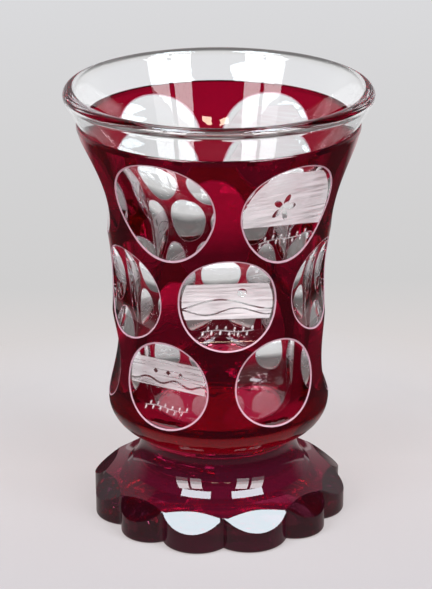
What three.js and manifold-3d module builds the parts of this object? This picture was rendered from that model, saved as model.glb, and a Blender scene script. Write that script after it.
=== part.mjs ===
// A footed drinking glass: a flared beaker of clear glass in a thin ruby casing.
// Rows of round windows are cut through the casing into the clear wall.
// A ruby merese joins the beaker to a solid ruby foot with twelve scalloped lobes.
// Millimetres, +Z up. The origin is at the middle of the underside, and -Y is the front.
// Glass pieces that are fused by their flat faces touch. The casing keeps a thin gap to the wall.

import * as THREE from 'three';
import { mergeVertices } from 'three/addons/utils/BufferGeometryUtils.js';
import Module from 'manifold-3d';

// Foot, worked out from its lobes up and from its neck out. The valley strays tell by how many
// degrees the hand-cut valleys between the lobes stand round from their places.
const lobeCount = 12;
const lobeWallHeight = 6.6;
const lobeDepth = 4.3;
const lobeEdgeRounding = 1;
const valleyStrays = { 8: -2.3, 9: -1.2, 10: 2.3 };
const facetReach = 6.4;
const facetSlope = 35.3;
const skirtWidth = 4.5;
const skirtSlope = 30;
const skirtRadius = 36;
const collarWidth = 1.9;
const collarSlope = 41;
const coveRadius = 12.8;
const coveSweep = 38;
const neckStraight = 1.9;
const neckRadius = 24;

// Merese
const mereseThickness = 2.35;
const mereseOverhang = 0.9;
const mereseEdgeRounding = 0.8;

// Beaker
const shoulderRadius = 9.7;
const swellRadius = 33.8;
const waistRadius = 32.1;
const waistRise = 45.8;
const flareArcRadius = 104;
const flareAngle = 16.2;
const bandHeight = 10.1;
const bandFlare = 29;
const bandSetIn = 0.3;
const wallThickness = 6.3;
const wallEase = 2.3;
const rimThickness = 4.3;
const lipEnd = 158;
const baseThickness = 3.2;
const cavityCornerRadius = 10;

// Ruby casing
const casingThickness = 0.6;
const casingGap = 0.3;
const casingTopBevel = 0.35;
const casingUpright = 1.7;
const casingAboveWindows = 2.75;

// Round windows: the strips are what is left of the casing between them,
// side by side in each row and slantwise from row to row.
const windowColumns = 6;
const lowerRowRise = 24.05;
const lowerStrip = 6.8;
const middleStrip = 4;
const upperStrip = 6.5;
const lowerCrossStrip = 3.25;
const upperCrossStrip = 3.75;

// Where the hand-cut windows stray, by column: how far round a window stands from its place,
// in degrees, how much deeper its wheel goes, and how much lower the window sits.
const lowerStrays = {
  0: { drift: -1, deeper: 0.04, lower: -0.2 },
  5: { drift: -3.1, deeper: 0.05, lower: 0.75 },
};
const middleStrays = {
  0: { drift: 1.3, deeper: 0.05, lower: 0 },
  1: { drift: 3.2, deeper: -0.25, lower: 0 },
  5: { drift: -1.1, deeper: -0.1, lower: 0.8 },
};
const upperStrays = { 0: { drift: 0.75, deeper: -0.1, lower: 0.95 } };
const noStray = { drift: 0, deeper: 0, lower: 0 };

// Smoothness
const turnSegments = 48;
const wheelSegments = 60;
const arcSteps = 4;
const lobeSteps = 5;

const degree = Math.PI / 180;
const facetTop = lobeWallHeight + facetReach * Math.tan(facetSlope * degree);
const coveReach = coveRadius * (1 - Math.cos(coveSweep * degree));
const skirtTopRadius = neckRadius + coveReach + collarWidth;
const facetTopRadius = skirtTopRadius + skirtWidth;
const skirtCentre = skirtTopRadius + skirtRadius * Math.sin(skirtSlope * degree);
const skirtReach = skirtCentre - facetTopRadius;
const skirtCentreHeight = facetTop + Math.sqrt(skirtRadius ** 2 - skirtReach ** 2);
const skirtTop = skirtCentreHeight - skirtRadius * Math.cos(skirtSlope * degree);
const collarTop = skirtTop + collarWidth * Math.tan(collarSlope * degree);
const coveTop = collarTop + coveRadius * Math.sin(coveSweep * degree);
const footHeight = coveTop + neckStraight;
const lobeCrestRadius = facetTopRadius + facetReach;
const lobeValleyRadius = lobeCrestRadius - lobeDepth;
const mereseRadius = neckRadius + mereseOverhang;
const bowlBase = footHeight + mereseThickness;
const shoulderHeight = bowlBase + shoulderRadius;
const shoulderCentre = swellRadius - shoulderRadius;
const waistHeight = bowlBase + waistRise;

// Radius of the uncut beaker at a height: a cosine swell below the waist,
// then a large arc that leans outward, then a straight flare.
function beakerRadius(height) {
  const rise = height - waistHeight;
  if (rise < 0) {
    const share = Math.min(1, -rise / (waistHeight - shoulderHeight));
    return waistRadius + (swellRadius - waistRadius) * (1 - Math.cos(Math.PI * share)) / 2;
  }
  const arcRise = flareArcRadius * Math.sin(flareAngle * degree);
  if (rise < arcRise) {
    return waistRadius + flareArcRadius - Math.sqrt(flareArcRadius ** 2 - rise ** 2);
  }
  const arcReach = flareArcRadius * (1 - Math.cos(flareAngle * degree));
  return waistRadius + arcReach + (rise - arcRise) * Math.tan(flareAngle * degree);
}

// The radius of a window that leaves a strip between it and the next one in its row.
function windowRadius(height, strip) {
  const wall = beakerRadius(height);
  return wall * Math.sin(Math.PI / windowColumns - strip / (2 * wall));
}

// The next row up stands half a column round from the row below, and clears it by the cross
// strip. Its height and its windows' radius depend on each other, so a few passes settle them.
function rowAbove(row, strip, crossStrip, strays) {
  const turn = 0.5 - row.turn;
  const next = { height: row.height + row.radius, radius: row.radius, turn, strays };
  for (let pass = 0; pass < 8; pass += 1) {
    const wall = (beakerRadius(row.height) + beakerRadius(next.height)) / 2;
    const sideways = wall * Math.PI / windowColumns;
    next.radius = windowRadius(next.height, strip);
    const apart = row.radius + crossStrip + next.radius;
    next.height = row.height + Math.sqrt(apart ** 2 - sideways ** 2);
  }
  return next;
}

const lowerRowHeight = bowlBase + lowerRowRise;
const lowerRow = {
  height: lowerRowHeight,
  radius: windowRadius(lowerRowHeight, lowerStrip),
  turn: 0.5,
  strays: lowerStrays,
};
const middleRow = rowAbove(lowerRow, middleStrip, lowerCrossStrip, middleStrays);
const upperRow = rowAbove(middleRow, upperStrip, upperCrossStrip, upperStrays);
const casingTop = upperRow.height + upperRow.radius + casingAboveWindows;
const uprightBottom = casingTop - casingUpright;
const uprightRadius = beakerRadius(uprightBottom);
const rimTop = casingTop + bandHeight;

const wasm = await Module();
wasm.setup();

function solidFrom(geometry) {
  geometry.deleteAttribute('normal');
  geometry.deleteAttribute('uv');
  const merged = mergeVertices(geometry, 1e-4);
  const corners = merged.index.array;
  const kept = [];
  for (let i = 0; i < corners.length; i += 3) {
    const [a, b, c] = corners.slice(i, i + 3);
    if (a !== b && b !== c && c !== a) kept.push(a, b, c);
  }
  return new wasm.Manifold(new wasm.Mesh({
    numProp: 3,
    vertProperties: merged.attributes.position.array,
    triVerts: Uint32Array.from(kept),
  }));
}

function meshFrom(solid, name, material) {
  const { vertProperties, triVerts } = solid.getMesh();
  const geometry = new THREE.BufferGeometry();
  geometry.setAttribute('position', new THREE.BufferAttribute(vertProperties, 3));
  geometry.setIndex(new THREE.BufferAttribute(triVerts, 1));
  geometry.computeVertexNormals();
  const mesh = new THREE.Mesh(geometry, material);
  mesh.name = name;
  return mesh;
}

// Turns a profile of [radius, height] points about the upright axis.
function turned(points) {
  const profile = points.map(([radius, height]) => new THREE.Vector2(radius, height));
  return solidFrom(new THREE.LatheGeometry(profile, turnSegments).rotateX(Math.PI / 2));
}

// Points of an arc about [centreRadius, centreHeight], both ends included, angles in degrees.
function arc(centreRadius, centreHeight, radius, from, to) {
  return Array.from({ length: arcSteps + 1 }, (_, i) => {
    const angle = (from + (to - from) * i / arcSteps) * degree;
    return [centreRadius + radius * Math.cos(angle), centreHeight + radius * Math.sin(angle)];
  });
}

// The beaker's side, moved inward by a depth, from the bottom's flat up over the shoulder and
// the wall to where the casing stands upright, and then straight up to a top height.
function beakerSide(depth, top) {
  const side = arc(shoulderCentre, shoulderHeight, shoulderRadius - depth, -90, 0);
  const steps = 3 * arcSteps;
  for (let i = 1; i <= steps; i += 1) {
    const height = shoulderHeight + (uprightBottom - shoulderHeight) * i / steps;
    side.push([beakerRadius(height) - depth, height]);
  }
  side.push([uprightRadius - depth, top]);
  return side;
}

// The clear band, the round lip and the inside of the bowl, from the casing's top edge up and
// over to the axis. The band is straight and runs evenly into the lip. The wall thickens from
// the lip down to the waist, stays even below it, and ends in the cavity's round corner.
function bandLipAndCavity() {
  const lipRadius = rimThickness / 2;
  const lipHeight = rimTop - lipRadius;
  const bandStart = uprightRadius - bandSetIn;
  const bandRise = bandHeight - lipRadius * (1 + Math.sin(bandFlare * degree));
  const bandReach = bandRise * Math.tan(bandFlare * degree);
  const lipCentre = bandStart + bandReach - lipRadius * Math.cos(bandFlare * degree);
  const innerLip = arc(lipCentre, lipHeight, lipRadius, 0, lipEnd);
  const [innerStart, insideTop] = innerLip[arcSteps];
  const lipWall = beakerRadius(insideTop) - innerStart;
  const floor = bowlBase + baseThickness;
  const cornerTop = floor + cavityCornerRadius;
  const cornerCentre = beakerRadius(cornerTop) - wallThickness - cavityCornerRadius;
  const inside = [];
  const steps = 2 * arcSteps;
  for (let i = 1; i <= steps; i += 1) {
    const height = insideTop + (waistHeight - insideTop) * i / steps;
    const wall = wallThickness + (lipWall - wallThickness) * (1 - i / steps) ** wallEase;
    inside.push([beakerRadius(height) - wall, height]);
  }
  for (let i = 1; i < arcSteps; i += 1) {
    const height = waistHeight + (cornerTop - waistHeight) * i / arcSteps;
    inside.push([beakerRadius(height) - wallThickness, height]);
  }
  return [
    [bandStart, casingTop],
    ...arc(lipCentre, lipHeight, lipRadius, -bandFlare, 0),
    ...innerLip,
    ...inside,
    ...arc(cornerCentre, cornerTop, cavityCornerRadius, 0, -90),
    [0, floor],
  ];
}

// One grinding wheel for each window: its axle is level and lies across the window, so its rim
// cuts a hollow that is flat across and curved from top to bottom. The rim runs through the
// window's top and bottom, and in its middle as deep as a flat cut of the window's width.
function windowWheels() {
  const wheels = [];
  for (const { height, radius, turn, strays } of [lowerRow, middleRow, upperRow]) {
    const top = beakerRadius(height + radius);
    const bottom = beakerRadius(height - radius);
    const middle = Math.sqrt(beakerRadius(height) ** 2 - radius ** 2);
    const between = (top ** 2 + bottom ** 2) / 2 - middle ** 2 + radius ** 2;
    const axle = between / (top + bottom - 2 * middle);
    const rise = (top - bottom) * (top + bottom - 2 * axle) / (4 * radius);
    const wheelRadius = Math.hypot(middle - axle, rise);
    const slope = (top - bottom) / (2 * radius);
    for (let column = 0; column < windowColumns; column += 1) {
      const { drift, deeper, lower } = strays[column] ?? noStray;
      const angle = (column + turn) * 2 * Math.PI / windowColumns - Math.PI / 2 + drift * degree;
      const wheel = new THREE.CylinderGeometry(wheelRadius, wheelRadius, 3 * radius, wheelSegments);
      wheel.translate(axle - deeper - lower * slope, 0, height + rise - lower);
      wheels.push(solidFrom(wheel.rotateZ(angle)));
    }
  }
  return wheels;
}

function clearBowl(wheels) {
  const seat = bowlBase + casingThickness;
  const bowl = turned([
    [0, seat],
    [shoulderCentre - casingGap, seat],
    ...beakerSide(casingThickness + casingGap, casingTop),
    ...bandLipAndCavity(),
  ]);
  return wheels.reduce((cut, wheel) => cut.subtract(wheel), bowl);
}

function rubyCasing(wheels) {
  const outer = beakerSide(0, casingTop - casingTopBevel);
  const inner = beakerSide(casingThickness, casingTop).reverse();
  const casing = turned([[0, bowlBase], ...outer, ...inner, [0, bowlBase + casingThickness]]);
  return wheels.reduce((cut, wheel) => cut.subtract(wheel), casing);
}

function merese() {
  const rounding = Math.min(mereseEdgeRounding, mereseThickness / 2);
  const flat = mereseRadius - rounding;
  return turned([
    [0, footHeight],
    ...arc(flat, footHeight + rounding, rounding, -90, 0),
    ...arc(flat, bowlBase - rounding, rounding, 0, 90),
    [0, bowlBase],
  ]);
}

// The turn of each lobe's middle, and half the turn between the valleys on its two sides.
function lobeTurns() {
  const valleyTurn = (valley) => (
    (valley * 360 / lobeCount + (valleyStrays[valley] ?? 0)) * degree
  );
  return Array.from({ length: lobeCount }, (_, lobe) => {
    const from = valleyTurn(lobe);
    const to = valleyTurn(lobe + 1);
    return { middle: (from + to) / 2, half: (to - from) / 2 };
  });
}

// The foot's outline seen from above: one arc for each lobe, meeting in sharp valleys.
function lobedOutline() {
  const outline = new THREE.Shape();
  for (const { middle, half } of lobeTurns()) {
    const chordDistance = lobeValleyRadius * Math.cos(half);
    const halfChord = lobeValleyRadius * Math.sin(half);
    const bulge = lobeCrestRadius - chordDistance;
    const lobeRadius = (halfChord ** 2 + bulge ** 2) / (2 * bulge);
    const centre = lobeCrestRadius - lobeRadius;
    const halfSweep = Math.atan2(halfChord, chordDistance - centre);
    const x = centre * Math.cos(middle);
    const y = centre * Math.sin(middle);
    outline.absarc(x, y, lobeRadius, middle - halfSweep, middle + halfSweep, false);
  }
  return outline;
}

// The foot: a turned blank with its neck, cove, collar and hollow skirt, scalloped into lobes,
// with a flat facet ground across the top edge of each lobe.
function foot() {
  const blankRadius = lobeCrestRadius + 1;
  const blankEdge = 270 + Math.asin((blankRadius - skirtCentre) / skirtRadius) / degree;
  const blank = turned([
    [0, 0],
    [blankRadius, 0],
    ...arc(skirtCentre, skirtCentreHeight, skirtRadius, blankEdge, 270 - skirtSlope),
    ...arc(neckRadius + coveRadius, coveTop, coveRadius, 180 + coveSweep, 180),
    [neckRadius, footHeight],
    [0, footHeight],
  ]);
  const lobes = solidFrom(new THREE.ExtrudeGeometry(lobedOutline(), {
    depth: footHeight,
    curveSegments: lobeSteps,
    bevelThickness: lobeEdgeRounding,
    bevelSize: lobeEdgeRounding,
    bevelOffset: -lobeEdgeRounding,
    bevelSegments: 2,
  }).translate(0, 0, lobeEdgeRounding));
  let body = blank.intersect(lobes);
  for (const { middle } of lobeTurns()) {
    const cutter = new THREE.BoxGeometry(lobeCrestRadius, lobeCrestRadius, lobeCrestRadius);
    cutter.translate(lobeCrestRadius / 2, 0, lobeCrestRadius / 2);
    cutter.rotateY(facetSlope * degree);
    cutter.translate(facetTopRadius, 0, facetTop);
    body = body.subtract(solidFrom(cutter.rotateZ(middle)));
  }
  return body;
}

const clearGlass = new THREE.MeshStandardMaterial({ color: 0xe6ecec, roughness: 0.03, metalness: 0 });
const rubyGlass = new THREE.MeshStandardMaterial({ color: 0x86041f, roughness: 0.04, metalness: 0 });
const darkRubyGlass = new THREE.MeshStandardMaterial({ color: 0x5c0417, roughness: 0.04, metalness: 0 });
const footGlass = new THREE.MeshStandardMaterial({ color: 0x5a1022, roughness: 0.04, metalness: 0 });

const wheels = windowWheels();
const glass = new THREE.Group();
glass.name = 'footed_drinking_glass';
glass.add(
  meshFrom(foot(), 'foot', footGlass),
  meshFrom(merese(), 'merese', darkRubyGlass),
  meshFrom(rubyCasing(wheels), 'ruby_casing', rubyGlass),
  meshFrom(clearBowl(wheels), 'clear_bowl', clearGlass),
);

export default glass;
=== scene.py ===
"""A footed drinking glass: a clear beaker in a thin ruby casing, cut with rows of round windows,
on a ruby merese and a ruby foot with twelve scalloped lobes. Sizes are in millimetres until a
surface becomes a mesh, which is in metres."""

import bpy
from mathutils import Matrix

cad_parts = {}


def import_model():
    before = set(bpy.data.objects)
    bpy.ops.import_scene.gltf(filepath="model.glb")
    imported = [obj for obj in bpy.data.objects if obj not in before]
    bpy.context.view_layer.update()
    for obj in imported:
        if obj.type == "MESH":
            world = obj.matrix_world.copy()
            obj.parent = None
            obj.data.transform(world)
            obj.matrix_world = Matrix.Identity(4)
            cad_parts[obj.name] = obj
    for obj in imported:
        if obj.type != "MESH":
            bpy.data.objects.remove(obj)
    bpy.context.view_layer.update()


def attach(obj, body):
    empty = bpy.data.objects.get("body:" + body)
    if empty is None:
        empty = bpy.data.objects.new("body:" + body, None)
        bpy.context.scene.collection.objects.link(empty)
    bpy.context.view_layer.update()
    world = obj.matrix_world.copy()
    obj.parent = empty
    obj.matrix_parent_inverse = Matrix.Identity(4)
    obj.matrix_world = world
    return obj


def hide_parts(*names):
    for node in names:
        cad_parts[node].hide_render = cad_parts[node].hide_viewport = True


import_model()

import math

import bpy
import numpy as np
from mathutils import Vector

METRE = 0.001
DEGREE = math.pi / 180

# Foot. Three of the valleys between its lobes stray by some degrees
LOBES = 12
LOBE_WALL = 6.6
LOBE_DEPTH = 4.3
LOBE_ROUNDING = 1.0
VALLEY_STRAYS = {8: -2.3, 9: -1.2, 10: 2.3}
FACET_REACH = 6.4
FACET_SLOPE = 35.3 * DEGREE
SKIRT_WIDTH = 4.8
SKIRT_SLOPE = 30 * DEGREE
SKIRT_RADIUS = 36.0
COLLAR_WIDTH = 1.6
COLLAR_SLOPE = 46 * DEGREE
COVE_RADIUS = 12.8
COVE_SWEEP = 38 * DEGREE
NECK_STRAIGHT = 1.72
NECK_RADIUS = 24.0

# Merese
MERESE_THICKNESS = 2.35
MERESE_OVERHANG = 0.9
MERESE_ROUNDING = 0.8

# Beaker
SHOULDER = 9.7
SWELL = 33.8
WAIST = 32.1
WAIST_RISE = 45.8
FLARE_ARC = 104.0
FLARE_ANGLE = 16.2 * DEGREE
BAND = 10.1
BAND_FLARE = 29 * DEGREE
BAND_SET_IN = 0.3
LIP_END = 158 * DEGREE
WALL = 6.3
RIM_WALL = 4.3
WALL_EASE = 2.3
BASE = 3.2
CAVITY_CORNER = 10.0

# Casing, at the thickness of the real skin, and its windows
CASING = 0.22
FUSED_GAP = 0.01
CASING_ROUNDING = 1.0
CASING_ROUND_SWEEP = 50 * DEGREE
CASING_UPRIGHT = 1.7
ABOVE_WINDOWS = 2.75
COLUMNS = 6
LOWER_ROW_RISE = 24.05
LOWER_STRIP = 6.8
MIDDLE_STRIP = 4.0
UPPER_STRIP = 6.5
LOWER_CROSS_STRIP = 3.25
UPPER_CROSS_STRIP = 3.75
WEB_BOTTOM = 33.0

# Where the hand-cut windows stray: by column, how far round a window stands, in degrees, how
# much deeper its wheel goes, and how much lower the window sits
LOWER_STRAYS = {0: (-1.0, 0.04, -0.2), 5: (-3.1, 0.05, 0.75)}
MIDDLE_STRAYS = {0: (1.3, 0.05, 0.0), 1: (3.2, -0.25, 0.0), 5: (-1.1, -0.1, 0.8)}
UPPER_STRAYS = {0: (0.75, -0.1, 0.95)}

# The engraved designs, by the number that marks their windows; a plain window has 0
HILLS = 1
ROSETTE = 2
WAVES = 3

# Steps of the grids
EDGE_STEPS = 16
HOLLOW_RINGS = 14
WEB_RINGS = 6
CUT_EDGE_RINGS = 2
TURN_STEPS = 2 * COLUMNS * EDGE_STEPS
LOBE_STEPS = 16
LOBE_ROUNDING_STEPS = 4
LOBE_WALL_STEPS = 3
SKIRT_STEPS = 8
COVE_STEPS = 16
SMALL_ARC_STEPS = 6
SHOULDER_STEPS = 8
BAND_STEPS = 30
LIP_STEPS = 20
INSIDE_STEPS = 40
BELOW_WAIST_STEPS = 19
CAVITY_CORNER_STEPS = 16
CAVITY_FLOOR_STEPS = 5

# Searches: how often one halves its range, how often a row is placed again, and the heights
# that are tried between two rows
HALVINGS = 40
ROW_ROUNDS = 8
HEIGHTS_TRIED = 4001

# A lobe's facet ends at its edge where it would be narrower than this
LEAST_FACET = 1e-6

# Points in the same cell are welded: the cells to a millimetre, and a shift in millimetres
# that keeps round sizes off the cells' edges
WELD_CELLS = 1000
WELD_SHIFT = 0.000217

facet_top = LOBE_WALL + FACET_REACH * math.tan(FACET_SLOPE)
collar_top_radius = NECK_RADIUS + COVE_RADIUS * (1 - math.cos(COVE_SWEEP))
skirt_top_radius = collar_top_radius + COLLAR_WIDTH
facet_top_radius = skirt_top_radius + SKIRT_WIDTH
skirt_centre = skirt_top_radius + SKIRT_RADIUS * math.sin(SKIRT_SLOPE)
skirt_centre_height = facet_top + math.sqrt(
    SKIRT_RADIUS**2 - (skirt_centre - facet_top_radius) ** 2
)
skirt_top = skirt_centre_height - SKIRT_RADIUS * math.cos(SKIRT_SLOPE)
collar_top = skirt_top + COLLAR_WIDTH * math.tan(COLLAR_SLOPE)
cove_top = collar_top + COVE_RADIUS * math.sin(COVE_SWEEP)
foot_height = cove_top + NECK_STRAIGHT
crest_radius = facet_top_radius + FACET_REACH
valley_radius = crest_radius - LOBE_DEPTH
bowl_base = foot_height + MERESE_THICKNESS
shoulder_height = bowl_base + SHOULDER
seat_radius = SWELL - SHOULDER
waist_height = bowl_base + WAIST_RISE


def beaker_radius(height, depth=0.0):
    """Radius of the uncut beaker, a depth below its skin: a cosine swell below the waist, a
    large outward arc above it, then a straight flare, and the shoulder's arc at the bottom."""
    height = np.asarray(height, float)
    rise = height - waist_height
    share = np.clip(-rise / (waist_height - shoulder_height), 0, 1)
    swell = (SWELL - WAIST) * (1 - np.cos(math.pi * share)) / 2
    curved_rise = FLARE_ARC * math.sin(FLARE_ANGLE)
    curved = FLARE_ARC - np.sqrt(FLARE_ARC**2 - np.clip(rise, 0, curved_rise) ** 2)
    straight = np.maximum(rise - curved_rise, 0) * math.tan(FLARE_ANGLE)
    drop = np.clip(shoulder_height - height, 0, SHOULDER - depth)
    round_in = np.sqrt((SHOULDER - depth) ** 2 - drop**2) - SHOULDER
    return WAIST + swell + curved + straight + round_in


def beaker_slope(height, depth=0.0):
    """How much the beaker's radius grows with its height, from a central difference."""
    step = 0.01
    rise = beaker_radius(height + step, depth) - beaker_radius(height - step, depth)
    return rise / (2 * step)


class Row:
    """A row of round windows: where its middle is and the wheel that grinds it. The wheel's
    axle is level and lies across the window, so the hollow is flat across and curved upright.
    Its circle runs through the window's top and bottom and the depth that a flat cut of the
    window's width has. The drift and the axle's place are arrays with a place for each column."""

    def __init__(self, height, strip, turn, strays):
        self.height = height
        self.turn = turn
        self.drift = np.zeros((COLUMNS, 1, 1))
        deeper = np.zeros((COLUMNS, 1, 1))
        lower = np.zeros((COLUMNS, 1, 1))
        for column, (degrees, depth, drop) in strays.items():
            self.drift[column] = degrees * DEGREE
            deeper[column] = depth
            lower[column] = drop
        wall = float(beaker_radius(height))
        self.radius = wall * math.sin(math.pi / COLUMNS - strip / (2 * wall))
        middle = math.sqrt(wall**2 - self.radius**2)
        top = float(beaker_radius(height + self.radius))
        bottom = float(beaker_radius(height - self.radius))
        axle = (top**2 + bottom**2) / 2 - middle**2 + self.radius**2
        axle /= top + bottom - 2 * middle
        rise = (top - bottom) * (top + bottom - 2 * axle) / (4 * self.radius)
        slope = (top - bottom) / (2 * self.radius)
        self.axle_height = height + rise - lower
        self.wheel = math.hypot(middle - axle, rise)
        self.axle = axle - deeper - lower * slope

    def hollow(self, height):
        """Distance of the hollow's face from the glass's axis, seen square to the window."""
        return self.axle - np.sqrt(self.wheel**2 - (height - self.axle_height) ** 2)


def row_above(below, strip, cross_strip, strays):
    """The next row stands half a column round and clears the row below by the cross strip."""
    row = Row(below.height + below.radius, strip, 0.5 - below.turn, strays)
    for _ in range(ROW_ROUNDS):
        wall = float(beaker_radius(below.height) + beaker_radius(row.height)) / 2
        sideways = wall * math.pi / COLUMNS
        apart = below.radius + cross_strip + row.radius
        height = below.height + math.sqrt(apart**2 - sideways**2)
        row = Row(height, strip, 0.5 - below.turn, strays)
    return row


lower_row = Row(bowl_base + LOWER_ROW_RISE, LOWER_STRIP, 0.5, LOWER_STRAYS)
middle_row = row_above(lower_row, MIDDLE_STRIP, LOWER_CROSS_STRIP, MIDDLE_STRAYS)
upper_row = row_above(middle_row, UPPER_STRIP, UPPER_CROSS_STRIP, UPPER_STRAYS)
casing_top = upper_row.height + upper_row.radius + ABOVE_WINDOWS
web_top = casing_top - CASING_UPRIGHT
rim_top = casing_top + BAND
edge_centre = float(beaker_radius(web_top)) - CASING_ROUNDING
edge_centre_height = casing_top - CASING_ROUNDING * math.sin(CASING_ROUND_SWEEP)


def meeting(beside, between):
    """Height, on the upright line through a window of one row, of the point that is as far from
    that window's edge as from the edge of the nearest window of the other row."""
    height = np.linspace(beside.height, between.height, HEIGHTS_TRIED)
    sideways = beaker_radius(height) * math.pi / COLUMNS
    gap_beside = np.hypot(sideways, height - beside.height) - beside.radius
    gap_between = np.abs(between.height - height) - between.radius
    return float(height[np.argmin(np.abs(gap_beside - gap_between))])


def cell_border(corners):
    """Points of a six-sided cell round a window: turn from its middle and height, with the same
    number of even steps along each side, so that neighbouring cells share them."""
    corners = np.array(corners, float) * (math.pi / COLUMNS, 1)
    share = np.arange(EDGE_STEPS)[:, None] / EDGE_STEPS
    sides = [a + (b - a) * share for a, b in zip(corners, np.roll(corners, -1, 0))]
    return np.concatenate(sides)


side_low = meeting(middle_row, lower_row)
side_high = meeting(middle_row, upper_row)
top_low = meeting(upper_row, middle_row)
bottom_high = meeting(lower_row, middle_row)

# For each row, the corners of the cell round a window, in half columns from its middle and in
# height, and which columns are engraved with which design
CELLS = (
    (
        lower_row,
        [
            (1, WEB_BOTTOM),
            (1, bottom_high),
            (0, side_low),
            (-1, bottom_high),
            (-1, WEB_BOTTOM),
            (0, WEB_BOTTOM),
        ],
        ((1, 3, 5), WAVES),
    ),
    (
        middle_row,
        [
            (1, side_low),
            (1, side_high),
            (0, top_low),
            (-1, side_high),
            (-1, side_low),
            (0, bottom_high),
        ],
        ((0, 2, 4), HILLS),
    ),
    (
        upper_row,
        [(1, top_low), (1, web_top), (0, web_top), (-1, web_top), (-1, top_low), (0, side_high)],
        ((0, 2, 4), ROSETTE),
    ),
)


def cell_spots(row, border, share):
    """Turn and height of spots that lie a share of the way from each window's middle to its
    cell's border."""
    turn = row.drift + (border[:, 0] - row.drift) * share
    return turn, row.height + (border[:, 1] - row.height) * share


def window_edge(row, border, depth):
    """Share of the way from each window's middle to its cell's border at which the hollow
    comes out through the surface at a depth, found by halving."""
    low = np.zeros((COLUMNS, 1, len(border)))
    high = low + 1
    for _ in range(HALVINGS):
        share = (low + high) / 2
        turn, height = cell_spots(row, border, share)
        cut = row.hollow(height) < beaker_radius(height, depth) * np.cos(turn - row.drift)
        low = np.where(cut, share, low)
        high = np.where(cut, high, share)
    return (low + high) / 2


def spread(start, end, steps):
    """Rings from one share to another, both included."""
    return start + (end - start) * np.linspace(0, 1, steps + 1)[:, None]


def around(radius, turn, height):
    """Points at a radius, turn and height, repeated at the six columns of a row."""
    return np.stack([radius * np.cos(turn), radius * np.sin(turn), height + 0 * radius], -1)


def column_turns(row):
    """Turn of the middle of each window of a row, with the front of the glass at -Y."""
    return ((np.arange(COLUMNS) + row.turn) * 2 * math.pi / COLUMNS - math.pi / 2)[:, None, None]


def web_surface(row, border, share, depth):
    """The beaker's own surface round a window, at a depth: radius from the height alone."""
    turn, height = cell_spots(row, border, share)
    slope = beaker_slope(height, depth)
    turn = column_turns(row) + turn
    points = around(beaker_radius(height, depth) + 0 * turn, turn, height)
    normals = around(1 + 0 * turn, turn, -slope)
    return points, normals


def hollow_surface(row, border, share):
    """The ground hollow of a window: the wheel's face, with its normal towards the axle."""
    turn, height = cell_spots(row, border, share)
    out = row.hollow(height)
    sideways = out * np.tan(turn - row.drift)
    middle = column_turns(row)
    points = around(np.hypot(out, sideways) + 0 * middle, middle + turn, height)
    facing = middle + row.drift
    normals = around(row.axle - out + 0 * facing, facing, row.axle_height - height)
    return points, normals, sideways, height


def unit(vectors):
    """Vectors divided by their own lengths."""
    return vectors / np.linalg.norm(vectors, axis=-1, keepdims=True)


def turned(profile, normals=None, turns=None):
    """Turns a profile of (radius, height) about the axis. The profile runs with the glass on its
    left, so its normal is its direction turned to the right."""
    profile = np.asarray(profile, float)
    if normals is None:
        along = np.r_[0, np.cumsum(np.hypot(*np.diff(profile, axis=0).T))]
        slope = np.gradient(profile, along, axis=0)
        normals = np.stack([slope[:, 1], -slope[:, 0]], -1)
    normals = np.broadcast_to(normals, profile.shape)
    if turns is None:
        turns = np.arange(TURN_STEPS) * 2 * math.pi / TURN_STEPS - math.pi / 2
    radius = profile[:, :1] + 0 * turns
    return (
        around(radius, turns + 0 * radius, profile[:, 1:]),
        around(normals[:, :1] + 0 * turns, turns + 0 * radius, normals[:, 1:]),
    )


def arc(centre_radius, centre_height, radius, start, end, steps):
    """Points of an arc about a centre, both ends included, and their outward directions. An
    angle of 0 points away from the axis, and angles grow upwards."""
    angle = np.linspace(start, end, steps + 1)
    ways = np.stack([np.cos(angle), np.sin(angle)], -1)
    return ways * radius + (centre_radius, centre_height), ways


def rounded_edge(depth):
    """The casing's upright top and its rounded edge, a depth below its face, and the outward
    directions."""
    radius = CASING_ROUNDING - depth
    sweep = CASING_ROUND_SWEEP
    edge, ways = arc(edge_centre, edge_centre_height, radius, 0, sweep, SMALL_ARC_STEPS)
    upright = (edge_centre + radius, web_top)
    return np.concatenate([[upright], edge]), np.concatenate([[(1, 0)], ways])


def placed(name, data):
    """An object for a mesh, a lamp or a camera, in the scene."""
    made = bpy.data.objects.new(name, data)
    bpy.context.scene.collection.objects.link(made)
    return made


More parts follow.
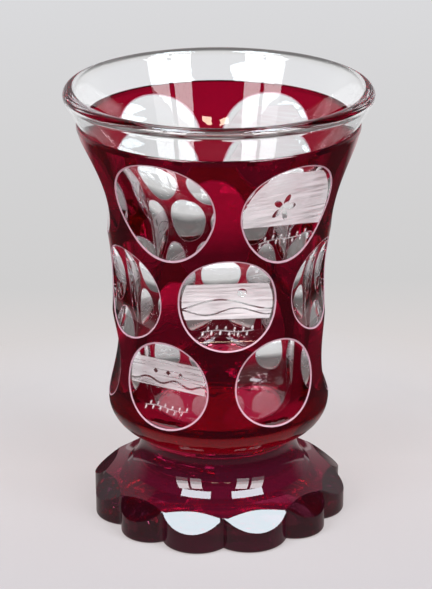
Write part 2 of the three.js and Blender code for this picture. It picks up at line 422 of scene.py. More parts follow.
class Skin:
    """Patches of surface that together close round one piece of glass. Each patch is a grid of
    points with their normals, closed round its last axis, and has one finish."""

    def __init__(self, name, finishes):
        self.name = name
        self.finishes = finishes
        self.points = []
        self.normals = []
        self.marks = []
        self.corners = []
        self.finish = []
        self.count = 0

    def add(self, finish, points, normals, flip=False, marks=None):
        """Adds a patch. Its faces run round and then along, or the other way where flipped."""
        count = points.size // 3
        spots = self.count + np.arange(count).reshape(points.shape[:-1])
        a = spots[..., :-1, :]
        d = spots[..., 1:, :]
        b = np.roll(a, -1, -1)
        c = np.roll(d, -1, -1)
        faces = np.stack([np.stack([a, b, c], -1), np.stack([a, c, d], -1)]).reshape(-1, 3)
        self.corners.append(faces[:, ::-1] if flip else faces)
        self.finish.append(np.full(len(faces), self.finishes.index(finish)))
        self.points.append(points.reshape(-1, 3))
        self.normals.append(unit(normals).reshape(-1, 3))
        marks = np.zeros(points.shape) if marks is None else marks
        self.marks.append(marks.reshape(-1, 3))
        self.count += count

    def piece(self, node):
        """Welds the patches' shared points, drops the faces that closed up at poles, and keeps
        each patch's own normals, so that ground edges stay sharp."""
        points = np.concatenate(self.points)
        corners = np.concatenate(self.corners)
        keys = np.floor((points + WELD_SHIFT) * WELD_CELLS).astype(np.int64)
        _, first, joined = np.unique(keys, axis=0, return_index=True, return_inverse=True)
        joined = joined.reshape(-1)
        faces = joined[corners]
        real = (faces != np.roll(faces, 1, 1)).all(1)
        faces = faces[real]
        corners = corners[real]
        mesh = bpy.data.meshes.new(self.name)
        mesh.from_pydata((points[first] * METRE).tolist(), [], faces.tolist())
        for finish in self.finishes:
            mesh.materials.append(finish)
        mesh.polygons.foreach_set("material_index", np.concatenate(self.finish)[real])
        mesh.polygons.foreach_set("use_smooth", np.ones(len(faces), bool))
        marks = np.concatenate(self.marks)[corners.reshape(-1)]
        layer = mesh.attributes.new("window", "FLOAT_VECTOR", "CORNER")
        layer.data.foreach_set("vector", marks.reshape(-1).astype(np.float32))
        normals = np.concatenate(self.normals)[corners.reshape(-1)]
        mesh.normals_split_custom_set(normals.tolist())
        made = placed(self.name, mesh)
        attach(made, "root")
        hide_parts(node)


class Wire:
    """A node's output. Sums, products and the like of wires and numbers add Math nodes, and
    node() adds any other node to the same material."""

    def __init__(self, tree, socket=None):
        self.tree = tree
        self.socket = socket

    def node(self, kind, settings=None, sockets=None, out=0):
        """A new node with its settings, then the values or wires of its sockets. It comes back
        as the wire from one of its outputs."""
        made = self.tree.nodes.new(kind)
        for name, value in (settings or {}).items():
            if name == "stops":
                ramp = made.color_ramp
                while len(ramp.elements) < len(value):
                    ramp.elements.new(1.0)
                for element, (position, colour) in zip(ramp.elements, value):
                    element.position = position
                    element.color = colour
            else:
                setattr(made, name, value)
        for name, value in (sockets or {}).items():
            if isinstance(value, Wire):
                self.tree.links.new(value.socket, made.inputs[name])
            else:
                made.inputs[name].default_value = value
        return Wire(self.tree, made.outputs[out] if len(made.outputs) else None)

    def outputs(self):
        """All the outputs of the wire's node, by name or by number."""
        return self.socket.node.outputs

    def maths(self, operation, *others):
        """A Math node on this wire and the others."""
        values = dict(enumerate((self, *others)))
        return self.node("ShaderNodeMath", {"operation": operation}, values)

    def turned_maths(self, operation, first):
        """A Math node on a first value and this wire."""
        return self.node("ShaderNodeMath", {"operation": operation}, {0: first, 1: self})

    def __add__(self, other):
        return self.maths("ADD", other)

    __radd__ = __add__

    def __sub__(self, other):
        return self.maths("SUBTRACT", other)

    def __rsub__(self, other):
        return self.turned_maths("SUBTRACT", other)

    def __mul__(self, other):
        return self.maths("MULTIPLY", other)

    __rmul__ = __mul__

    def __truediv__(self, other):
        return self.maths("DIVIDE", other)

    def __rtruediv__(self, other):
        return self.turned_maths("DIVIDE", other)


def rgba(colour):
    """A colour as sockets want it, with full cover."""
    return (*colour, 1.0)


def blank(name):
    """A material with nothing in it but its output, and a wire to build from."""
    material = bpy.data.materials.new(name)
    material.use_nodes = True
    material.node_tree.nodes.clear()
    return material, Wire(material.node_tree)


def shown(wire):
    """Sends a shader to the material's output."""
    wire.node("ShaderNodeOutputMaterial", None, {"Surface": wire})


def noise(wire, where, scale, detail=2.0):
    """Soft noise from 0 to 1. Its scale is how many lumps go into a length of 1."""
    sockets = {"Vector": where, "Scale": scale, "Detail": detail}
    return wire.node("ShaderNodeTexNoise", None, sockets)


def object_place(wire):
    """Where a point of a piece is, in metres."""
    return wire.node("ShaderNodeTexCoord", out="Object")


def parts(wire, vector):
    """The three parts of a vector."""
    split = wire.node("ShaderNodeSeparateXYZ", None, {0: vector}).outputs()
    return [Wire(wire.tree, output) for output in split]


def mixed(wire, share, first, second):
    """A colour between two, by a share. Among the Mix node's sockets the colours are the
    seventh and eighth, and its colour output is the third."""
    settings = {"data_type": "RGBA"}
    sockets = {0: share, 6: rgba(first), 7: rgba(second)}
    return wire.node("ShaderNodeMix", settings, sockets, 2)


def matt_shader(wire, colour):
    """A face that scatters light evenly."""
    return wire.node("ShaderNodeBsdfDiffuse", None, {"Color": colour})


def blended(wire, share, first, second):
    """A shader between two, by a share."""
    return wire.node("ShaderNodeMixShader", None, {0: share, 1: first, 2: second})


def bumped(wire, height, distance):
    """A normal that leans as if the face rose by a distance, in metres, where the height
    is 1."""
    sockets = {"Height": height, "Distance": distance, "Strength": 1.0}
    return wire.node("ShaderNodeBump", None, sockets)


def clamped(value):
    """A value held between 0 and 1."""
    return value.maths("MINIMUM", 1.0).maths("MAXIMUM", 0.0)


def within(value, blur):
    """1 where a value is below 0, and 0 above it, with a soft edge as wide as the blur."""
    return clamped(0.5 - value / blur)


def before(value, line):
    """1 where a value is below a line, and 0 above it. A line has its place and its blur."""
    place, blur = line
    return within(value - place, blur)


def length(first, second):
    """Length of the long side of a right triangle."""
    return (first * first + second * second).maths("SQRT")


# Glass. Its index of refraction, then in metres the size of a ruby's patches of colour and the
# depth of the ripples in a polished face, then how many ripples and specks go into a metre
GLASS_IOR = 1.54
PATCH = 0.02
CASING_PATCH = 0.03
RIPPLE = 0.00003
MERESE_RIPPLE = 0.00002
RUBY_RIPPLES = 140.0
CLEAR_RIPPLES = 110.0
GROUND_SPECKS = 1500.0

# Colours that light takes on in a glass; a ruby drifts from its first colour to its deep one. A
# ray through the casing meets its face and its joint, and each gives it half of the colour
RUBY = (0.38, 0.002, 0.026)
DEEP_RUBY = (0.32, 0.0015, 0.021)
RUBY_HALF = tuple(math.sqrt(value) for value in RUBY)
MERESE_RUBY = (0.56, 0.003, 0.075)
DEEP_MERESE_RUBY = (0.47, 0.002, 0.06)
FOOT_RUBY = (0.05, 0.001, 0.008)
DEEP_FOOT_RUBY = (0.04, 0.0008, 0.006)
# The lobes' walls, roundings and facets take a far darker copy of the foot's ruby. This is
# painted shade, so that these faces look dark.
LOBE_PAINTED_SHADE_RUBY = (0.007, 0.0008, 0.003)
DEEP_LOBE_PAINTED_SHADE_RUBY = (0.005, 0.0006, 0.002)
# The underside takes a far paler copy of the foot's ruby. This is painted light, so that more
# light comes up through the base.
UNDER_PAINTED_LIGHT_RUBY = (0.52, 0.006, 0.045)
DEEP_UNDER_PAINTED_LIGHT_RUBY = (0.44, 0.005, 0.036)
# The casing's seat under the beaker tints far less than the casing's ruby. This is painted light,
# so that more light comes up into the beaker's low part.
SEAT_PAINTED_LIGHT_TINT = (0.94, 0.37, 0.47)
NO_TINT = (1, 1, 1)
CLEAR = (0.975, 0.98, 0.978)

# Colours that light takes on at a matt face
STAIN = (0.45, 0.025, 0.09)
GROUND_PINK = (0.66, 0.43, 0.49)
DEEP_GROUND_PINK = (0.48, 0.25, 0.31)
MATT_CLEAR = (0.86, 0.82, 0.82)
ENGRAVED_WHITE = (0.80, 0.70, 0.70)

# Share of light that a ruby's stain scatters
CASING_HAZE = 0.02
FOOT_HAZE = 0.07
LOBE_HAZE = 0.02

# Engraving: how much its strokes are drawn out along and across, their contrast, how much
# higher they stand than a ripple, and its roughness and whiteness, least and added by a stroke
STROKES_ALONG = 1.1
STROKES_ACROSS = 22
STROKE_CONTRAST = 2.6
STROKE_HEIGHT = 1.5
MATT_ROUGHNESS = (0.3, 0.25)
MATT_WHITENESS = (0.25, 0.5)


def glass_shader(wire, colour, roughness, normal):
    """Polished glass. Its colour counts once for a ray that goes in and out again."""
    sockets = {
        "Base Color": colour,
        "Roughness": roughness,
        "IOR": GLASS_IOR,
        "Transmission Weight": 1.0,
        "Normal": normal,
    }
    return wire.node("ShaderNodeBsdfPrincipled", None, sockets)


def ruby_glass(name, pale, deep, patch=PATCH, ripple=RIPPLE, haze=0.0):
    """Ruby glass: its colour drifts between two depths in soft patches, and its polished face
    is a little uneven. The haze is the share of light that its stain scatters."""
    material, wire = blank(name)
    place = object_place(wire)
    patches = noise(wire, place, 1 / patch)
    share = wire.node(
        "ShaderNodeMapRange",
        {"interpolation_type": "SMOOTHSTEP"},
        {"Value": patches, "From Min": 0.35, "From Max": 0.65},
    )
    colour = mixed(wire, share, pale, deep)
    normal = bumped(wire, noise(wire, place, RUBY_RIPPLES), ripple)
    glass = glass_shader(wire, colour, 0.0, normal)
    shown(blended(wire, haze, glass, matt_shader(wire, rgba(STAIN))))
    return material


def ground_edge(name):
    """The casing's ground edge round each window: thin, matt, and pale pink where the ruby
    runs out."""
    material, wire = blank(name)
    specks = noise(wire, object_place(wire), GROUND_SPECKS)
    colour = mixed(wire, specks, GROUND_PINK, DEEP_GROUND_PINK)
    sockets = {"Base Color": colour, "Roughness": 0.5, "Transmission Weight": 0.35}
    shown(wire.node("ShaderNodeBsdfPrincipled", None, sockets))
    return material


def fused_joint(name, colour):
    """The face where two glasses are fused: it doesn't bend light, and may tint it."""
    material, wire = blank(name)
    shown(wire.node("ShaderNodeBsdfTransparent", None, {"Color": rgba(colour)}))
    return material


def engraving(across, up, kind):
    """Share of matt engraving on a window's face. Across and up run from -1 to 1 over the
    window, so that its half width is the unit of every size here. Kind is the design's number."""
    blur = 0.02
    field_radius = 0.93
    waves_share = 0.75
    twig_share = 0.65
    diamonds_across = 3.2

    def stripe(value, middle, half_width):
        """1 where a value is near a middle, within half a width of it."""
        return within((value - middle).maths("ABSOLUTE") - half_width, blur)

    def design(number):
        """1 on the windows of a design."""
        return kind.maths("COMPARE", number, 0.1)

    # Hills, two cosine lines, under a round sun
    hill = 0.11 * ((across + 0.15) * 3.0).maths("COSINE") - 0.05
    near_hill = 0.07 * ((across - 0.2) * 5.0).maths("COSINE") - 0.2
    sun = within(length(across - 0.3, up - 0.2) - 0.1, blur)
    lines = stripe(up, hill, 0.016).maths("MAXIMUM", stripe(up, near_hill, 0.014))
    hills = stripe(up, 0.03, 0.39) * (1 - sun.maths("MAXIMUM", lines))

    # A rosette of five leaves, whose length is a cosine of their turn, on a slanted field
    from_middle = across + 0.05
    above_middle = up - 0.03
    leaf_turn = above_middle.maths("ARCTAN2", from_middle)
    leaf_length = 0.27 * (leaf_turn * 2.5).maths("COSINE").maths("ABSOLUTE")
    rosette = within(length(from_middle, above_middle) - leaf_length, blur)
    slanted = stripe(up + 0.12 * across, 0.22, 0.56) * (1 - rosette)

    # A sine wave with a row of diamonds over it
    wave = stripe(up, 0.05 * (across * 9.0).maths("SINE") - 0.02, 0.02)
    place = (across * diamonds_across + 0.5).maths("FRACT") - 0.5
    sideways = place.maths("ABSOLUTE") / diamonds_across
    diamonds = within(sideways + (up - 0.2).maths("ABSOLUTE") - 0.06, blur)
    diamonds = diamonds * stripe(across, 0.0, 0.45)
    waves = stripe(up, 0.17, 0.33) * (1 - wave.maths("MAXIMUM", diamonds))

    # A twig under each design: a thin wavy stem with slanted leaves, now on one side of it and
    # now on the other
    above_stem = up + 0.6 + 0.02 * (across * 7.0).maths("SINE")
    stem = stripe(above_stem, 0.0, 0.008)
    side = ((across * 5.5).maths("FRACT") - 0.5).maths("SIGN")
    along_leaf = ((across * 11.0).maths("FRACT") - 0.5 - above_stem * 2.5) / 0.26
    leaf = within(length(along_leaf, (above_stem - side * 0.05) / 0.045) - 1, 0.4)
    twig = leaf.maths("MAXIMUM", stem) * stripe(across, 0.0, 0.54) * twig_share
    twig = twig * kind.maths("GREATER_THAN", 0.5)

    fields = hills * design(HILLS) + slanted * design(ROSETTE)
    fields = fields + waves_share * waves * design(WAVES)
    fields = fields * within(length(across, up) - field_radius, blur)
    return fields.maths("MAXIMUM", twig)


def clear_glass(name):
    """Clear glass with polished faces, and matt engraving drawn in fine level strokes. The
    window attribute holds a point's place across and up its window, and the design's number."""
    material, wire = blank(name)
    mark = wire.node("ShaderNodeAttribute", {"attribute_name": "window"}, out="Vector")
    across, up, kind = parts(wire, mark)
    matt = engraving(across, up, kind)
    drawn_out = {0: across * STROKES_ALONG, 1: up * STROKES_ACROSS, 2: kind}
    stroke_place = wire.node("ShaderNodeCombineXYZ", None, drawn_out)
    strokes = noise(wire, stroke_place, 1.0, detail=3.0)
    strokes = clamped((strokes - 0.5) * STROKE_CONTRAST + 0.5)
    least, added = MATT_ROUGHNESS
    roughness = matt * (least + added * strokes)
    colour = mixed(wire, matt * strokes, CLEAR, MATT_CLEAR)
    ripple = noise(wire, object_place(wire), CLEAR_RIPPLES)
    height = ripple * (1 - matt) + strokes * matt * STROKE_HEIGHT
    polished = glass_shader(wire, colour, roughness, bumped(wire, height, RIPPLE))
    least, added = MATT_WHITENESS
    share = matt * (least + added * strokes)
    shown(blended(wire, share, polished, matt_shader(wire, rgba(ENGRAVED_WHITE))))
    return material


casing_face = ruby_glass("ruby_casing_glass", RUBY, DEEP_RUBY, CASING_PATCH, haze=CASING_HAZE)
casing_joint = fused_joint("ruby_casing_joint", RUBY_HALF)
cut_edge = ground_edge("ground_ruby_edge")
clear_joint = fused_joint("clear_joint", NO_TINT)
# Painted light: the seat's joint tints far less than the casing's ruby.
seat_painted_light_joint = fused_joint("ruby_seat_joint", SEAT_PAINTED_LIGHT_TINT)
merese_face = ruby_glass(
    "ruby_merese_glass", MERESE_RUBY, DEEP_MERESE_RUBY, ripple=MERESE_RIPPLE
)
foot_face = ruby_glass("ruby_foot_glass", FOOT_RUBY, DEEP_FOOT_RUBY, haze=FOOT_HAZE)
# Painted shade: the lobes' faces take a darker ruby than the rest of the foot.
lobe_painted_shade_face = ruby_glass("ruby_lobe_painted_shade_glass", LOBE_PAINTED_SHADE_RUBY, DEEP_LOBE_PAINTED_SHADE_RUBY, haze=LOBE_HAZE)
# Painted light: the underside takes a paler ruby than the rest of the foot.
under_painted_light_face = ruby_glass("ruby_underside_painted_light_glass", UNDER_PAINTED_LIGHT_RUBY, DEEP_UNDER_PAINTED_LIGHT_RUBY)
bowl_face = clear_glass("clear_glass")


def shoulder(depth):
    """The shoulder's arc from the flat seat up to the web's bottom edge."""
    radius = SHOULDER - depth
    end = -math.asin((shoulder_height - WEB_BOTTOM) / radius)
    return turned(*arc(seat_radius, shoulder_height, radius, -math.pi / 2, end, SHOULDER_STEPS))


def seat(depth):
    """The flat under the beaker, out to where the shoulder starts."""
    height = bowl_base + depth
    return turned([(0, height), (seat_radius, height)], (0, -1))


def ruby_casing():
    """The casing: a skin over the beaker's side, shoulder and seat, open at the windows."""
    skin = Skin("casing_skin", [casing_face, casing_joint, cut_edge, clear_joint, seat_painted_light_joint])
    for row, corners, _ in CELLS:
        border = cell_border(corners)
        outer = window_edge(row, border, 0)
        inner = window_edge(row, border, CASING)
        rings = spread(outer, 1, WEB_RINGS)
        skin.add(casing_face, *web_surface(row, border, rings, 0), flip=True)
        lip = spread(inner, outer, CUT_EDGE_RINGS)
        skin.add(cut_edge, *hollow_surface(row, border, lip)[:2], flip=True)
        skin.add(clear_joint, *web_surface(row, border, spread(inner, outer, 1), CASING))
        skin.add(casing_joint, *web_surface(row, border, rings, CASING))
    skin.add(casing_face, *shoulder(0))
    skin.add(seat_painted_light_joint, *seat(0))
    skin.add(casing_joint, *shoulder(CASING), flip=True)
    skin.add(clear_joint, *seat(CASING), flip=True)
    face = rounded_edge(0)
    joint = rounded_edge(CASING)
    skin.add(casing_face, *turned(*face))
    skin.add(casing_face, *turned([face[0][-1], joint[0][-1]]))
    skin.add(casing_joint, *turned(*joint), flip=True)
    skin.piece("ruby_casing")


def band_lip_and_cavity(start):
    """From the casing's edge up the flared band, over the round lip, down the inside, whose
    wall thickens down to the waist and stays even below it, and over the cavity's round corner
    to the middle of its floor."""
    lip_radius = RIM_WALL / 2
    lip_height = rim_top - lip_radius
    band_start = float(beaker_radius(web_top)) - BAND_SET_IN
    band_rise = BAND - lip_radius * (1 + math.sin(BAND_FLARE))
    lip_centre = band_start + band_rise * math.tan(BAND_FLARE) - lip_radius * math.cos(BAND_FLARE)
    lip = arc(lip_centre, lip_height, lip_radius, -BAND_FLARE, LIP_END, LIP_STEPS)[0]
    band = np.linspace(start, lip[0], BAND_STEPS + 1)[:-1]
    share = np.linspace(0, 1, INSIDE_STEPS + 1)[1:]
    height = lip[-1][1] + (waist_height - lip[-1][1]) * share
    top_wall = float(beaker_radius(lip[-1][1])) - lip[-1][0]
    wall = top_wall + (WALL - top_wall) * (1 - (1 - share) ** WALL_EASE)
    inside = np.stack([beaker_radius(height) - wall, height], -1)
    floor_height = bowl_base + BASE
    corner_top = floor_height + CAVITY_CORNER
    corner_centre = float(beaker_radius(corner_top)) - WALL - CAVITY_CORNER
    height = np.linspace(waist_height, corner_top, BELOW_WAIST_STEPS + 1)[1:-1]
    below = np.stack([beaker_radius(height) - WALL, height], -1)
    sweep = -math.pi / 2
    corner = arc(corner_centre, corner_top, CAVITY_CORNER, 0, sweep, CAVITY_CORNER_STEPS)[0]
    bottom = np.linspace(corner[-1], (0, floor_height), CAVITY_FLOOR_STEPS + 1)[1:]
    return np.concatenate([band, lip, inside, below, corner, bottom])


def clear_bowl():
    """The clear beaker: fused to the casing all over the web, open to the air in the windows,
    on the band and lip, and inside."""
    skin = Skin("beaker_glass", [bowl_face, clear_joint])
    deep = CASING + FUSED_GAP
    for row, corners, (columns, kind) in CELLS:
        border = cell_border(corners)
        edge = window_edge(row, border, deep)
        web = spread(edge, 1, WEB_RINGS)
        skin.add(clear_joint, *web_surface(row, border, web, deep), flip=True)
        hollow = spread(0, edge, HOLLOW_RINGS)
        points, normals, sideways, height = hollow_surface(row, border, hollow)
        kinds = np.zeros(COLUMNS)
        kinds[list(columns)] = kind
        marks = np.zeros(points.shape)
        marks[..., 0] = sideways / row.radius
        marks[..., 1] = (height - row.height) / row.radius
        marks[..., 2] = kinds[:, None, None]
        skin.add(bowl_face, points, normals, flip=True, marks=marks)
    skin.add(clear_joint, *seat(deep))
    skin.add(clear_joint, *shoulder(deep))
    joint, ways = rounded_edge(deep)
    skin.add(clear_joint, *turned(joint, ways))
    skin.add(bowl_face, *turned(band_lip_and_cavity(joint[-1])))
    skin.piece("clear_bowl")


def merese():
    """The flat button between foot and beaker, with rounded edges and fused flats."""
    skin = Skin("merese_button", [merese_face, casing_joint, clear_joint])
    low = foot_height + FUSED_GAP
    high = bowl_base - FUSED_GAP
    flat = NECK_RADIUS + MERESE_OVERHANG - MERESE_ROUNDING
    skin.add(clear_joint, *turned([(0, low), (NECK_RADIUS, low)], (0, -1)))
    skin.add(merese_face, *turned([(NECK_RADIUS, low), (flat, low)], (0, -1)))
    quarter = math.pi / 2
    rounds = [
        arc(flat, low + MERESE_ROUNDING, MERESE_ROUNDING, -quarter, 0, SMALL_ARC_STEPS),
        arc(flat, high - MERESE_ROUNDING, MERESE_ROUNDING, 0, quarter, SMALL_ARC_STEPS),
    ]
    edge = [np.concatenate(pair) for pair in zip(*rounds)]
    skin.add(merese_face, *turned(*edge))
    skin.add(clear_joint, *turned([(flat, high), (0, high)], (0, 1)))
    skin.piece("merese")


def foot():
    """The foot: each ray from its axis runs up a lobe's wall, in over the lobe's flat facet where
    it meets one, then over the hollow skirt, the collar, the cove and the neck. A lobe's arc
    runs through its crest and the valleys on its two sides, which stray a little."""
    valleys = np.arange(LOBES + 1) * 2 * math.pi / LOBES
    for valley, degrees in VALLEY_STRAYS.items():
        valleys[valley] += degrees * DEGREE
    steps = np.tile(np.linspace(-1, 1, LOBE_STEPS + 1)[:-1], LOBES)
    lobe = np.repeat((valleys[1:] + valleys[:-1]) / 2, LOBE_STEPS)
    half = np.repeat((valleys[1:] - valleys[:-1]) / 2, LOBE_STEPS)
    chord = valley_radius * np.cos(half)
    half_chord = valley_radius * np.sin(half)
    bulge = crest_radius - chord
    lobe_radius = (half_chord**2 + bulge**2) / (2 * bulge)
    lobe_centre = crest_radius - lobe_radius
    facet_rise = math.tan(FACET_SLOPE)

    def outline(turn, inset=0.0):
        """Where a ray at a turn from the lobe's middle leaves the lobe's arc."""
        radius = lobe_radius - inset
        return lobe_centre * np.cos(turn) + np.sqrt(radius**2 - (lobe_centre * np.sin(turn)) ** 2)

    def skirt_height(radius):
        """Height of the hollow skirt, which is the lower side of a circle."""
        return skirt_centre_height - np.sqrt(SKIRT_RADIUS**2 - (skirt_centre - radius) ** 2)

    def facet_height(radius, turn):
        """Height of a lobe's flat facet, which falls evenly along the lobe's middle."""
        return facet_top - (radius * np.cos(turn) - facet_top_radius) * facet_rise

    turn = half * steps
    edge = outline(turn)
    low = np.full(turn.shape, facet_top_radius)
    high = edge.copy()
    for _ in range(HALVINGS):
        fold = (low + high) / 2
        over = facet_height(fold, turn) > skirt_height(fold)
        low = np.where(over, fold, low)
        high = np.where(over, high, fold)
    fold = np.where(high > edge - LEAST_FACET, edge, (low + high) / 2)
    fold_height = skirt_height(fold)
    edge_height = np.minimum(facet_height(edge, turn), skirt_height(edge))
    turns = lobe + turn
    wall_turn = turn + np.arcsin(lobe_centre * np.sin(turn) / lobe_radius)

    def rays(radii, heights):
        """Points on all the rays, step by step, from each step's radii and heights."""
        radii = np.stack(np.broadcast_arrays(*radii, turns)[:-1])
        heights = np.stack(np.broadcast_arrays(*heights, turns)[:-1])
        return around(radii, turns + 0 * radii, heights)

    def facing(out, ways, up):
        """Normals from how far they lead outwards, which way, and how far upwards."""
        return around(np.broadcast_to(out, ways.shape), ways, np.broadcast_to(up, ways.shape))

    skin = Skin("lobed_foot", [foot_face, lobe_painted_shade_face, under_painted_light_face, clear_joint])
    inner = outline(turn, LOBE_ROUNDING)
    under = rays([0, inner / 2, inner], [0, 0, 0])
    skin.add(under_painted_light_face, under, np.broadcast_to((0.0, 0.0, -1.0), under.shape))
    slopes = np.linspace(-math.pi / 2, 0, LOBE_ROUNDING_STEPS + 1)
    insets = [outline(turn, LOBE_ROUNDING * (1 - math.cos(angle))) for angle in slopes]
    lifts = [LOBE_ROUNDING * (1 + math.sin(angle)) for angle in slopes]
    rounding = rays(insets, lifts)
    tilt = slopes[:, None]
    skin.add(lobe_painted_shade_face, rounding, facing(np.cos(tilt), lobe + wall_turn + 0 * tilt, np.sin(tilt)))
    share = np.linspace(0, 1, LOBE_WALL_STEPS + 1)
    upright = [LOBE_ROUNDING + (edge_height - LOBE_ROUNDING) * s for s in share]
    wall = rays([edge] * len(share), upright)
    ways = np.broadcast_to(lobe + wall_turn, wall.shape[:-1])
    skin.add(lobe_painted_shade_face, wall, facing(1.0, ways, 0.0))
    facet = rays(
        [edge + (fold - edge) * s for s in share],
        [edge_height + (fold_height - edge_height) * s for s in share],
    )
    ways = np.broadcast_to(lobe, facet.shape[:-1])
    skin.add(lobe_painted_shade_face, facet, facing(math.sin(FACET_SLOPE), ways, math.cos(FACET_SLOPE)))
    share = np.linspace(0, 1, SKIRT_STEPS + 1)
    skirt_radii = [fold + (skirt_top_radius - fold) * s for s in share]
    skirt = rays(skirt_radii, [skirt_height(radius) for radius in skirt_radii])
    ways = np.broadcast_to(turns, skirt.shape[:-1])
    lean = (skirt_centre - np.stack(skirt_radii)) / SKIRT_RADIUS
    skin.add(foot_face, skirt, facing(lean, ways, np.sqrt(1 - lean**2)))
    collar = [(skirt_top_radius, skirt_top), (collar_top_radius, collar_top)]
    skin.add(foot_face, *turned(collar, (math.sin(COLLAR_SLOPE), math.cos(COLLAR_SLOPE)), turns))
    start = math.pi + COVE_SWEEP
    cove, ways = arc(NECK_RADIUS + COVE_RADIUS, cove_top, COVE_RADIUS, start, math.pi, COVE_STEPS)
    skin.add(foot_face, *turned(cove, -ways, turns))
    neck = [(NECK_RADIUS, cove_top), (NECK_RADIUS, foot_height)]
    skin.add(foot_face, *turned(neck, (1, 0), turns))
    skin.add(clear_joint, *turned([(NECK_RADIUS, foot_height), (0, foot_height)], (0, 1), turns))
    skin.piece("foot")


clear_bowl()
ruby_casing()
merese()
foot()

# Floor, in metres: its place and reach, and the tones of the backdrop that it becomes, as
# shares of a length from a start in front of the glass
FLOOR_GAP = 0.00005
FLOOR_REACH = 6.0
FLOOR_SIDES = 64
FLOOR_GRAIN = 900.0
FLOOR_TONES = ((0.38, 0.355, 0.36), (0.41, 0.38, 0.385))
BACKDROP = (0.70, 0.70, 0.716)
BACKDROP_START = -0.06
BACKDROP_LENGTH = 0.72
BACKDROP_TONES = (
    (0.0, (0.56, 0.49, 0.49)),
    (0.12, (0.79, 0.71, 0.70)),
    (0.35, (0.631, 0.624, 0.624)),
    (1.0, BACKDROP),
)

# What the floor shows in the glass: the place and blur of the lines on it, in metres from the
# middle of the foot, and how much dimmer or brighter it is at one side of them
CLOSE_ROUND = (0.075, 0.02)
BEHIND = (0.22, 0.1)
FRONT = (-0.12, 0.04)
FAR_FRONT = (-0.24, 0.08)
DIM = 0.95
LESS_DIM_CLOSE = 0.5
SEEN_THROUGH = 0.2
FAR_SEEN_THROUGH = 0.9

# Share of the even backdrop in what the camera sees: the least, and where it grows to the whole
LEAST_EVEN = 0.6
EVEN = (0.1, 0.1)


def ray_kinds(wire):
    """Three wires that are 1 for a ray from the camera, for a ray off a face or through glass,
    and for a ray through glass, and otherwise 0."""
    path = wire.node("ShaderNodeLightPath").outputs()
    names = ("Is Camera Ray", "Is Glossy Ray", "Is Transmission Ray")
    return [Wire(wire.tree, path[name]) for name in names]


def floor():
    """A pale floor: close to the glass it is lit by the lamps and takes its shadow, and further
    off it becomes the even backdrop. The glass shows it dimly up to a line behind the foot, and
    less dimly close round the foot. Seen through the glass it is a little brighter, but not
    just in front of the foot, and it is as bright as the backdrop further to the front."""
    material, wire = blank("pale_floor")
    place = object_place(wire)
    x, y, _ = parts(wire, place)
    from_middle = length(x, y)
    camera_ray, glossy_ray, through_ray = ray_kinds(wire)
    tones = [(share, rgba(tone)) for share, tone in BACKDROP_TONES]
    away = (y - BACKDROP_START) / BACKDROP_LENGTH
    backdrop = wire.node("ShaderNodeValToRGB", {"stops": tones}, {0: away})
    dim = before(y, BEHIND) * (DIM - LESS_DIM_CLOSE * before(from_middle, CLOSE_ROUND))
    front = before(y, FRONT) * SEEN_THROUGH
    far_front = before(y, FAR_FRONT) * FAR_SEEN_THROUGH
    bright = 1 - glossy_ray * dim + through_ray * (SEEN_THROUGH - front + far_front)
    glow = wire.node("ShaderNodeEmission", None, {"Color": backdrop, "Strength": bright})
    grain = noise(wire, place, FLOOR_GRAIN, detail=4.0)
    matt = matt_shader(wire, mixed(wire, grain, *FLOOR_TONES))
    even = (1 - before(from_middle, EVEN)).maths("MAXIMUM", LEAST_EVEN)
    seen = camera_ray.maths("MAXIMUM", through_ray) * even
    shown(blended(wire, seen.maths("MAXIMUM", glossy_ray), matt, glow))
    angle = np.arange(FLOOR_SIDES) * 2 * math.pi / FLOOR_SIDES
    ring = np.stack([np.cos(angle), np.sin(angle), 0 * angle], -1) * FLOOR_REACH
    mesh = bpy.data.meshes.new("floor")
    mesh.from_pydata((ring - (0, 0, FLOOR_GAP)).tolist(), [], [list(range(FLOOR_SIDES))])
    mesh.materials.append(material)
    placed("floor", mesh)


# Room: the lines that part it, as how far a way with a length of 1 leads to the back or
# upwards, with their blur; the strength of its light by what looks at it; and its colour in
# front in reflections
ROOM_BACK = (0.2, 0.5)
ROOM_FAR_BACK = (0.5, 0.3)
ROOM_LOW = (0.4, 0.15)
ROOM_OVERHEAD = (0.75, 0.25)
SOFT_LIGHT = 0.35
REFLECTED = 0.03
REFLECTED_LOW = 0.04
REFLECTED_BEHIND = 0.45
THROUGH = 0.2
OVERHEAD_THROUGH = 0.5
VIOLET = (0.6, 0.5, 0.68)


def room():
    """The room: pale where it is looked at, dark and slightly violet in front of the glass in
    reflections, dim overhead and in front where it is seen through the glass, and a soft grey
    for the light that it gives."""
    world = bpy.data.worlds.new("room")
    bpy.context.scene.world = world
    world.use_nodes = True
    world.node_tree.nodes.clear()
    wire = Wire(world.node_tree)
    _, back, up = parts(wire, wire.node("ShaderNodeTexCoord", out="Generated"))
    camera_ray, glossy_ray, through_ray = ray_kinds(wire)
    behind = 1 - before(back, ROOM_BACK)
    far_behind = 1 - before(back, ROOM_FAR_BACK)
    low = before(up, ROOM_LOW)
    below = OVERHEAD_THROUGH + (1 - OVERHEAD_THROUGH) * before(up, ROOM_OVERHEAD)
    reflected = glossy_ray * (REFLECTED + REFLECTED_LOW * low + REFLECTED_BEHIND * far_behind)
    through = through_ray * (THROUGH + behind) * below
    soft = 1 - camera_ray.maths("MAXIMUM", glossy_ray).maths("MAXIMUM", through_ray)
    strength = camera_ray + through + reflected + soft * SOFT_LIGHT
    colour = mixed(wire, glossy_ray * (1 - behind), BACKDROP, VIOLET)
    light = wire.node("ShaderNodeBackground", None, {"Color": colour, "Strength": strength})
    light.node("ShaderNodeOutputWorld", None, {"Surface": light})


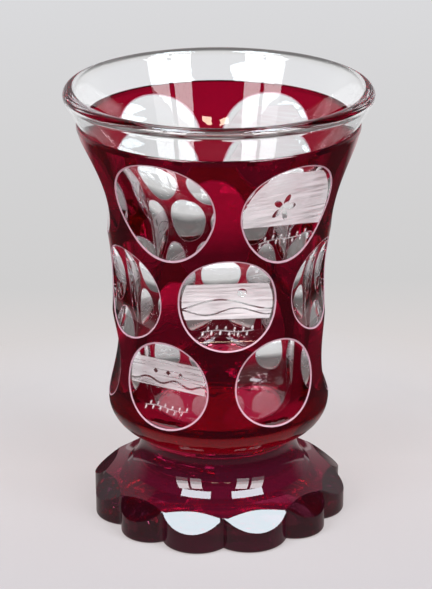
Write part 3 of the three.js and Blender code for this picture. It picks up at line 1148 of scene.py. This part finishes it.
def lamp(name, place, target, size, radiance, colour):
    """A soft lamp that the camera doesn't see. Its power is its radiance times its area times
    pi."""
    width, height = size
    data = bpy.data.lights.new(name, "AREA")
    data.color = colour
    data.shape = "RECTANGLE"
    data.size = width
    data.size_y = height
    data.energy = radiance * math.pi * width * height
    made = placed(name, data)
    made.location = place
    made.rotation_euler = (Vector(target) - Vector(place)).to_track_quat("-Z", "Y").to_euler()
    made.visible_camera = False


# Lamps, in metres, with azimuths in degrees from the camera's own. A bay of a window has its
# azimuth, half its width in degrees, and how much of its light its lowest pane has. A pane has
# the degrees between which it stands above the table, and its radiance
CAMERA_AZIMUTH = -3.64
DAYLIGHT = (0.96, 0.98, 1.0)
SKYLIGHT = (0.81, 0.93, 1.0)
WARM_LIGHT = (1.0, 0.84, 0.60)
WINDOW_AWAY = 1.6
WINDOW_PANES = ((17, 25, 4.0), (25, 31, 8.0), (31, 43, 13.0))
WINDOW_BAYS = {
    "left": ((-32, 8.0, 1.0), (-52, 8.5, 0.4)),
    "right": ((34, 8.5, 1.0), (56, 9.0, 0.4)),
}
MIDDLE = (0, 0, 0.08)
OVERHEAD_HEIGHT = 1.0
OVERHEAD_FRONT = -0.11
OVERHEADS = (("left", -0.325), ("right", 0.345))
OVERHEAD_SIZE = (0.3, 0.27)
OVERHEAD_RADIANCE = 18.5
SKYLIGHT_FRONT = -0.433
SKYLIGHTS = (("left", -0.43, 0.52), ("right", 0.495, 0.60))
SKYLIGHT_DEPTH = 0.26
SKYLIGHT_RADIANCE = 17.0
SMALL_LAMPS = (("left", -5.4), ("right", 11.9))
SMALL_HEIGHT = 0.797
SMALL_SIZE = (0.25, 0.02)
SMALL_RADIANCE = 18.0


def window_spot(azimuth, height):
    """A spot as far away as the windows, at an azimuth from the camera's and a height."""
    turn = (CAMERA_AZIMUTH + azimuth) * DEGREE
    return (WINDOW_AWAY * math.sin(turn), -WINDOW_AWAY * math.cos(turn), height)


def window_lamps():
    """Two tall windows in front of the glass, to its left and right, each of two bays of three
    panes, whose upper panes are brighter."""
    for hand, bays in WINDOW_BAYS.items():
        for bay, (azimuth, half_width, low_share) in enumerate(bays):
            width = 2 * WINDOW_AWAY * math.tan(half_width * DEGREE)
            for pane, (low, high, radiance) in enumerate(WINDOW_PANES):
                bottom = WINDOW_AWAY * math.tan(low * DEGREE)
                top = WINDOW_AWAY * math.tan(high * DEGREE)
                middle = (bottom + top) / 2
                share = 1 if pane else low_share
                name = f"window_{hand}_{bay}_{pane}"
                spot = window_spot(azimuth, middle)
                size = (width, top - bottom)
                lamp(name, spot, (0, 0, middle), size, radiance * share, DAYLIGHT)


floor()
room()
window_lamps()
for hand, across in OVERHEADS:
    spot = (across, OVERHEAD_FRONT, OVERHEAD_HEIGHT)
    lamp(f"overhead_{hand}", spot, MIDDLE, OVERHEAD_SIZE, OVERHEAD_RADIANCE, SKYLIGHT)
for hand, across, width in SKYLIGHTS:
    spot = (across, SKYLIGHT_FRONT, OVERHEAD_HEIGHT)
    under = (across, SKYLIGHT_FRONT, 0)
    lamp(f"skylight_{hand}", spot, under, (width, SKYLIGHT_DEPTH), SKYLIGHT_RADIANCE, SKYLIGHT)
for hand, azimuth in SMALL_LAMPS:
    spot = window_spot(azimuth, SMALL_HEIGHT)
    lamp(f"small_{hand}", spot, MIDDLE, SMALL_SIZE, SMALL_RADIANCE, WARM_LIGHT)

# Camera, in metres, with its lens and sensor in millimetres, and enough bounces for light
# inside thick glass
CAMERA_PLACE = (-0.0415, -0.6523, 0.3178)
CAMERA_TURN = (69.13 * DEGREE, 0, -3.57 * DEGREE)
CAMERA_LENS = 140.6
CAMERA_SENSOR = 36.0
CAMERA_REACH = 20.0
GLASS_BOUNCES = 32
GLOSSY_BOUNCES = 16
JOINT_BOUNCES = 64

scene = bpy.context.scene
camera_data = bpy.data.cameras.new("camera")
camera_data.sensor_width = CAMERA_SENSOR
camera_data.lens = CAMERA_LENS
camera_data.clip_end = CAMERA_REACH
camera = placed("camera", camera_data)
camera.location = CAMERA_PLACE
camera.rotation_euler = CAMERA_TURN
scene.camera = camera
scene.view_settings.view_transform = "Standard"
scene.cycles.max_bounces = GLASS_BOUNCES
scene.cycles.transmission_bounces = GLASS_BOUNCES
scene.cycles.glossy_bounces = GLOSSY_BOUNCES
scene.cycles.transparent_max_bounces = JOINT_BOUNCES
